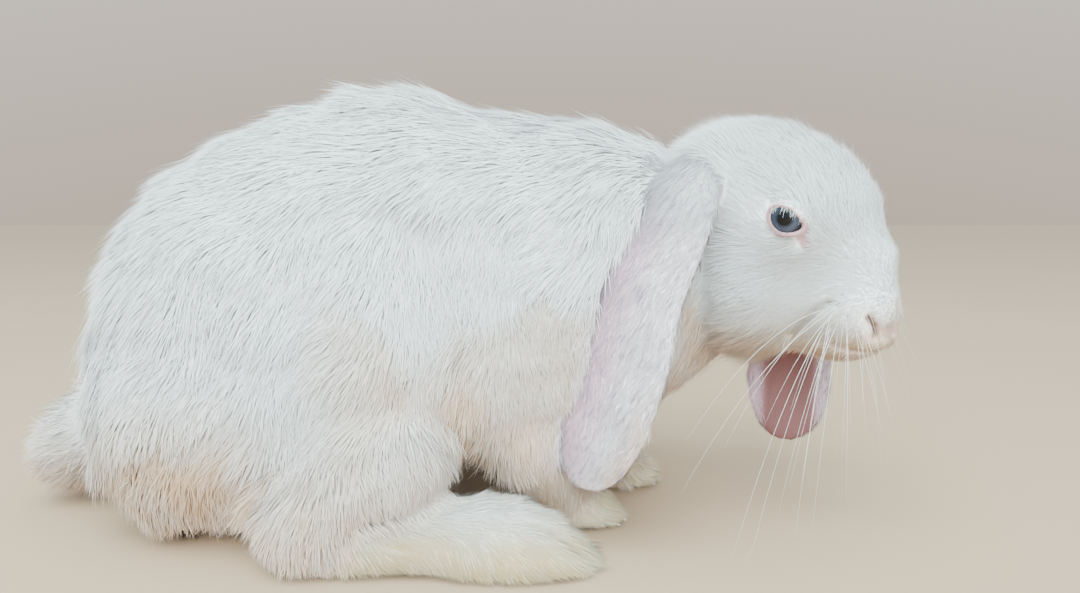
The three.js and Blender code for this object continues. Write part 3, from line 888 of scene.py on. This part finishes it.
def tufts(name, parts, bends, look, draw=0.4, chosen=None, closer=1.0, soften=0.86, frizz=0.11):
    """Grows one piece of coat: tufts that bend once or not at all and `draw` together into locks."""
    wanted = np.isin(kind_at, [kinds.index(k) for k in parts])
    if chosen:
        wanted &= chosen(skin[tri].mean(1))
    mine = tri[wanted]
    a, b, c = (skin[mine[:, k]] for k in range(3))
    area = 0.5 * np.linalg.norm(np.cross(b - a, c - a), axis=1)
    crowd = area * thick[mine].mean(1) * closer
    ends = np.cumsum(crowd)
    count = int(ends[-1])
    pick = np.searchsorted(ends, (np.arange(count) + lots.random(count)) / count * ends[-1])
    pick = np.minimum(pick, len(mine) - 1)
    u, v = lots.random(count), lots.random(count)
    u, v = np.where(u + v > 1, 1 - u, u), np.where(u + v > 1, 1 - v, v)
    weight = np.stack([1 - u - v, u, v], axis=1)
    corner = mine[pick]

    def here(values):
        if values.ndim == 1:
            return np.sum(values[corner] * weight, axis=1)
        return np.sum(values[corner] * weight[..., None], axis=1)

    root, n, way = here(skin), unit(here(normal)), here(lie)
    root[:, 2] = np.maximum(root[:, 2], LOWEST_ROOT)
    size, tilt, wide = here(length), np.radians(here(lean)), here(width)
    side = unit(np.cross(n, way))
    swirl = 0.24 * waves(root, 34, 5) + 0.10 * waves(root, 9, 6) + lots.normal(0, frizz, count)
    way = laid(unit(way + side * swirl[:, None]), n)
    side = np.cross(n, way)
    size = size * (1 + 0.10 * waves(root, 14, 9)) * lots.uniform(0.72, 1.12, count)
    stray = lots.random(count) < STRAYS
    size = np.where(stray, size * 1.12, size)
    wide = np.where(stray, wide * 0.45, wide * lots.uniform(0.65, 1.25, count))
    tilt = tilt * (1 + 0.12 * waves(root, 18, 3)) * lots.uniform(0.78, 1.18, count)
    tilt = np.where(stray, tilt * 1.7, tilt)
    flatter = tilt * lots.uniform(0.05, 0.45, count)
    first, second = (way * np.cos(a)[:, None] + n * np.sin(a)[:, None] for a in (tilt, flatter))
    curl = side * lots.normal(0, 0.10, count)[:, None]
    knee = root + (first + curl) * (size * BEND)[:, None]
    tip = knee + (second + curl * 1.6) * (size * (1 - BEND))[:, None]

    # neighbouring tufts lean together into locks
    leaders = lots.choice(count, max(count // TO_A_LOCK, 1), replace=False)
    outside = root + n * 6
    lead = leaders[closest(outside[leaders], outside)]
    pull = draw * (1 - 0.6 * step(0.2, 0.9, n[:, 2])) * lots.uniform(0.5, 1.0, count)
    tip = tip + (tip[lead] - tip) * pull[:, None]
    knee = knee + (knee[lead] - knee) * (pull * 0.45)[:, None]
    for line, gap in ((knee, 1.0), (tip, 0.7)):  # nothing pushes through the floor
        line[:, 2] = np.where(line[:, 2] < gap + 1, gap + np.exp(line[:, 2] - gap - 1), line[:, 2])

    high = unit(np.cross(unit(knee - root), side))
    flip = np.where(np.sum(high * n, axis=1, keepdims=True) < 0, -1, 1)
    half, deep = side * flip * (wide * 0.5)[:, None], high * flip * (wide * RIDGE)[:, None]
    base = root - n * 0.3
    if bends:
        points = [base, knee - half, knee + half, knee + deep, tip]
        pattern = [(0, 2, 1), (0, 1, 3), (0, 3, 2), (4, 1, 2), (4, 3, 1), (4, 2, 3)]
        patch = [(0, -0.5), (-0.5, 0), (0.5, 0), (0, 0.12), (0, 0.5)]
        height = [0, BEND, BEND, BEND, 1]
    else:
        points = [base - half, base + half, base + deep, tip]
        pattern = [(0, 2, 1), (0, 1, 3), (1, 2, 3), (2, 0, 3)]
        patch = [(-0.5, -0.5), (0.5, -0.5), (0, -0.2), (0, 0.5)]
        height = [0, 0, 0, 1]
    each = len(points)
    cloud = np.stack(points, axis=1).reshape(-1, 3)
    cloud[:, 2] = np.maximum(cloud[:, 2], LOWEST_HAIR)
    faces = (np.arange(count)[:, None, None] * each + np.array(pattern)[None]).reshape(-1, 3)
    mesh = new_mesh(name, cloud, faces)

    # each side is shaded part way to the hide's own slope, but only where it faces outwards
    f0, f1, f2 = (cloud[faces[:, k]] for k in range(3))
    own = unit(np.cross(f1 - f0, f2 - f0))
    hide_way = np.repeat(n, len(pattern), axis=0)
    facing = np.sum(own * hide_way, axis=1, keepdims=True)
    mild = soften * step(0.35, 0.85, facing)
    soft = unit(hide_way * mild + own * (1 - mild))
    free = mesh.attributes.new("custom_normal", "FLOAT_VECTOR", "CORNER")
    free.data.foreach_set("vector", np.repeat(soft, 3, axis=0).astype(np.float32).ravel())
    uv = spot_on_map(root)[:, None, :] + np.array(patch)[None] * PATCH
    uv = np.clip(uv, 0.0005, 0.9995).reshape(-1, 2)
    layer = mesh.uv_layers.new(name="OFBake")
    layer.data.foreach_set("uv", uv[faces.ravel()].astype(np.float32).ravel())
    for key in ("stain", "blush", "dark"):
        carry(mesh, key, np.repeat(np.clip(here(marks[key]), 0, 1), each))
    carry(mesh, "shade", np.repeat(lots.random(count), each))
    carry(mesh, "reach", np.tile(height, count))
    piece = smooth_piece(name, mesh, look)
    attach(piece, "root")


# the share of white kept at the tufts' roots is painted shade deep in the coat
ROOT_SHADE, SHADE_AND_SOLE_TINT, EAR_STREAK = 0.94, (0.36, 0.31, 0.27), (0.50, 0.38, 0.48)


def coat_finish(name, white, cream, pink, rough=0.62, dusk=0.95, streaky=False):
    """Soft hair that lets light in, duller in some tufts, with painted shade at the roots and the markings.
    """
    look, t, shader = finish_named(
        name, Roughness=rough, Sheen_Weight=0.25, Sheen_Roughness=0.45, Specular_IOR_Level=0.25,
        Subsurface_Weight=0.4, Subsurface_Radius=(1.0, 0.9, 0.8), Subsurface_Scale=2.0 * MM,
    )
    colour = tinted(t, tuple(c * dusk for c in white), white, read(t, "shade"))
    patchy = plus(t, times(t, grain(t, 60.0), 0.8), 0.5)
    # a cream stain, partly painted warm shade on the undersides
    colour = tinted(t, colour, cream, times(t, read(t, "stain"), patchy))
    colour = tinted(t, colour, pink, times(t, read(t, "blush"), patchy))
    # painted shade deep in the coat: each tuft darker towards its root
    out_of_root_shade = plus(t, read(t, "reach"), 0.55)
    colour = tinted(t, tuple(c * ROOT_SHADE for c in white), colour, out_of_root_shade)
    # painted shade in the creases and pits, and the darker soles
    colour = tinted(t, colour, SHADE_AND_SOLE_TINT, times(t, read(t, "dark"), 0.8))
    if streaky:
        streak = sums(t, "SUBTRACT", grain(t, 760.0, 3.0, (1, 1, 6), 0.62), 0.48)
        colour = tinted(t, colour, EAR_STREAK, times(t, streak, 6))
    painted(t, shader, colour)
    bumped(t, shader, grain(t, 1500.0, 2.0), 0.25, 0.1)
    return look


# the stained colour is also painted warm shade on the undersides
BODY_COLOURS = (0.95, 0.95, 0.945), (0.70, 0.40, 0.22), (0.85, 0.62, 0.68)  # white, stained and pink
head_coat = coat_finish("coat_head", *BODY_COLOURS)
for name, chosen in (
    ("coat_face_right", lambda m: to_head(m)[:, 1] < 0),
    ("coat_face_left", lambda m: to_head(m)[:, 1] >= 0),
):
    tufts(name, ["head"], False, head_coat, 0.15, chosen, closer=1.25)

# ------ whiskers and lashes
# Stiff white bristles rooted in pits on the whisker pads, which are darkened with painted shade, with three
# over each eye, and short fine lashes along each upper lid. Each is a tapering closed bristle that bends
# under its own weight.
bristle_look, t, shader = finish_named("bristle", Roughness=0.35, Coat_Weight=0.2, Coat_Roughness=0.3)
shade = grain(t, 300.0, 2.0)
BRISTLE, BRISTLE_SHADE = (0.93, 0.92, 0.90), (0.80, 0.77, 0.72)
painted(t, shader, tinted(t, BRISTLE, BRISTLE_SHADE, shade))
bumped(t, shader, shade, 0.1, 0.05)
skin_tree = BVHTree.FromPolygons(skin.tolist(), tri.tolist())
TAPER, LOWEST_BRISTLE = 0.88, 0.6
ROWS, COLUMNS, LASHES = 4, 6, 30
FARTHEST_X, FARTHEST_Y = 193.0, 98.0  # the whiskers end before these


def bristles(name, starts, ways, lengths, thickness, sag):
    """Closed tapering bristles, each from a point of the hide along its way, sagging with length."""
    rings, sides = 11, 5
    points, faces, first = [], [], 0
    turn = np.linspace(0, 2 * math.pi, sides, endpoint=False)
    round_it = np.stack([np.cos(turn), np.sin(turn)], axis=1)
    for start, way, size, wide in zip(starts, ways, lengths, thickness):
        along_it = np.linspace(0, 1, rings)
        line = start + np.outer(along_it * size, way)
        line[:, 2] -= sag * size * along_it ** 2
        line[:, 2] = np.maximum(line[:, 2], LOWEST_BRISTLE)
        tangent = unit(np.gradient(line, axis=0))
        across = unit(np.cross(tangent, np.array([0.0, 0.3, 1.0])))
        over = np.cross(tangent, across)
        radius = wide * (1 - along_it * TAPER)
        for i in range(rings):
            points.append(line[i] + radius[i] * (round_it @ np.stack([across[i], over[i]])))
        points.append(line[[0, -1]])
        faces += closed_tube(rings, sides, first)
        first += rings * sides + 2
    piece = smooth_piece(name, new_mesh(name, np.vstack(points), np.array(faces)), bristle_look)
    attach(piece, "root")


def on_hide(points_in_head):
    """The points of the hide nearest to points given in the head's frame."""
    world = HEAD_AT + turn_from_head(np.array(points_in_head, float))
    return np.array([np.array(skin_tree.find_nearest(p)[0]) for p in world.tolist()])


for side, name in ((-1, "right"), (1, "left")):
    pits, ways, sizes, girth = [], [], [], []
    for row in range(ROWS):
        for column in range(COLUMNS):
            f = column / (COLUMNS - 1)
            pits.append((
                41 - 13 * f + lots.normal(0, 0.5), side * (15.5 + 2.5 * f),
                -20.5 - 3.6 * row - 1.5 * f + lots.normal(0, 0.5),
            ))
            ways.append((
                0.42 - 0.75 * f + lots.normal(0, 0.10), side * (0.62 + lots.normal(0, 0.10)),
                -0.10 - 0.26 * row + lots.normal(0, 0.10),
            ))
            sizes.append((26 + 40 * f) * lots.uniform(0.75, 1.1))
            girth.append(0.055 + 0.03 * f)
    for k in range(3):
        pits.append((15 + 2.5 * k, side * 31, 19.5 - k))
        ways.append((-0.15 + 0.2 * k, side * 0.5, 0.6))
        sizes.append(20 + 3 * k)
        girth.append(0.09)
    starts = on_hide(pits)
    ways = unit(turn_from_head(unit(np.array(ways))))
    sizes = np.array(sizes)
    limit = (FARTHEST_X - starts[:, 0]) / np.maximum(ways[:, 0], 1e-3)
    sizes = np.where(ways[:, 0] > 0.02, np.minimum(sizes, limit), sizes)
    limit = (FARTHEST_Y + starts[:, 1]) / np.maximum(-ways[:, 1], 1e-3)
    sizes = np.where(ways[:, 1] < -0.02, np.minimum(sizes, limit), sizes)
    bristles("whiskers_" + name, starts - ways * 0.8, ways, sizes, girth, 0.5)
    centre, gaze, across, over = eye_frame(side)
    lash_at = []
    for k in range(LASHES):
        turn = math.radians(20 + 120 * k / (LASHES - 1) + lots.normal(0, 4))
        reach = 1.05 + 0.4 * lots.random()
        a, b = -SLIT[0] * reach * math.cos(turn), SLIT[1] * reach * math.sin(turn)
        angle = math.hypot(a, b) / EYE_RADIUS
        way = unit(across * a + over * b)
        lash_at.append(centre + (gaze * math.cos(angle) + way * math.sin(angle)) * (EYE_RADIUS + 0.6))
    starts = HEAD_AT + turn_from_head(np.array(lash_at))
    ways = np.array([0.15, side * 0.6, -0.62]) + lots.normal(0, 0.25, (LASHES, 3))
    ways = unit(turn_from_head(unit(ways)))
    sizes = lots.uniform(2.6, 4.6, LASHES)
    bristles("lashes_" + name, starts, ways, sizes, np.full(LASHES, 0.07), 0.1)

# ------ the coat of the ears
# Short silky hair that lies flat along each ear from root to tip, inside and out, and is so thin that
# the pink of the skin shows through. It grows from the hide of the ears as small unbent tufts.
EAR_COLOURS = (0.94, 0.93, 0.94), (0.82, 0.52, 0.20), (0.84, 0.49, 0.62)
ear_coat = coat_finish("coat_ears", *EAR_COLOURS, rough=0.55, dusk=0.9, streaky=True)
tufts("coat_ears", ["ear"], False, ear_coat, 0.12)

# ------ the coat of the trunk
# The longest fur: it runs back from the nape over the arched back and turns down the flanks. It is
# tufts that bend once, in seven pieces: the neck, and rump, back and shoulders on each side.
body_coat = coat_finish("coat_body", *BODY_COLOURS)
tufts("coat_neck", ["neck"], True, body_coat, 0.2)
for name, low_x, high_x in (("rump", -400, -75), ("back", -75, 25), ("shoulders", 25, 400)):
    for side_name, side in (("right", -1), ("left", 1)):
        tufts(
            f"coat_{name}_{side_name}", ["trunk"], True, body_coat, 0.14,
            lambda m: (m[:, 0] >= low_x) & (m[:, 0] < high_x) & (m[:, 1] * side >= 0), soften=0.92,
        )

# ------ the coat of the legs
# Fur that hangs down the thighs and closes over the knee, shorter on the shanks and forearms. It is
# the same bending tufts, in two pieces on each side: the thigh, and the shank with the foreleg.
for side_name, side in (("right", -1), ("left", 1)):
    on_side = lambda m: m[:, 1] * side > 0
    tufts(f"coat_thigh_{side_name}", ["thigh"], True, body_coat, 0.16, on_side, soften=0.92)
    tufts(f"coat_leg_{side_name}", ["shank", "foreleg"], True, body_coat, 0.25, on_side)

# ------ the coat of the feet
# Dense, springy fur that covers the soles as well, stained cream where the foot meets the ground. All
# four feet share one piece of short unbent tufts, which close round the claws.
FOOT_COLOURS = (0.94, 0.94, 0.92), (0.80, 0.58, 0.27), (0.85, 0.70, 0.68)
foot_coat = coat_finish("coat_feet", *FOOT_COLOURS)
tufts("coat_feet", ["hind_foot", "forepaw"], False, foot_coat, 0.4, soften=0.7)

# ------ the coat of the tail
# The scut: long loose hair, frizzier than the rest, that stands away from the short tail on every
# side. It is one piece of the body's bending tufts, set closest of all.
tufts("coat_tail", ["tail"], True, body_coat, 0.25, frizz=0.4)

# ------ floor, light and camera
# A plain pale floor that the rabbit stands on, a wide soft light high in front of its right side, a
# small one for the face, a sky that is warm below and cool above, and a camera low at its right side.
FLOOR, FLOOR_MOTTLE = (0.40, 0.27, 0.175), (0.44, 0.30, 0.195)
bm = bmesh.new()
bmesh.ops.create_grid(bm, x_segments=8, y_segments=8, size=14)
floor_mesh = mesh_from(bm, "floor")
floor = new_piece("floor", floor_mesh)
floor_look, t, shader = finish_named("floor", Roughness=0.7)
painted(t, shader, tinted(t, FLOOR, FLOOR_MOTTLE, grain(t, 3.0)))
floor_mesh.materials.append(floor_look)

world = bpy.data.worlds.new("studio")
bpy.context.scene.world = world
world.use_nodes = True
t = world.node_tree
sky = t.nodes["Background"]
_, y, z = axes(t, "Generated")
SKY = ((0.15, (0.42, 0.33, 0.25)), (0.5, (0.70, 0.66, 0.61)), (0.95, (1.42, 1.90, 2.02)))
SKY_STRENGTH = 1.45
climb = shaded(t, SKY)
higher = plus(t, times(t, z, 0.5), times(t, y, -0.25))
t.links.new(plus(t, higher, 0.45), climb.inputs[0])
t.links.new(climb.outputs[0], sky.inputs[0])
sky.inputs[1].default_value = SKY_STRENGTH
for name, where, aim, size, power, tone in (
    ("key", (-0.3, -1.3, 1.9), (0, 0, 0.08), 1.8, 118, (0.80, 0.98, 1.0)),
    ("front", (0.05, -1.0, 0.42), (0.15, -0.02, 0.12), 0.4, 15, (0.82, 0.98, 1.0)),
):
    lamp = bpy.data.lights.new(name, "AREA")
    lamp.size, lamp.energy, lamp.color = size, power, tone
    holder = new_piece(name, lamp)
    holder.location = where
    holder.rotation_mode = "QUATERNION"
    holder.rotation_quaternion = (Vector(aim) - Vector(where)).to_track_quat("-Z", "Y")

camera_data = bpy.data.cameras.new("camera")
camera_data.lens = 26
camera_data.sensor_width = 36
camera = new_piece("camera", camera_data)
camera.location = (0.0417956, -0.335, 0.123)
TIPPED_DOWN = 5.7  # degrees
camera.rotation_euler = (math.radians(90 - TIPPED_DOWN), 0, 0)
bpy.context.scene.camera = camera
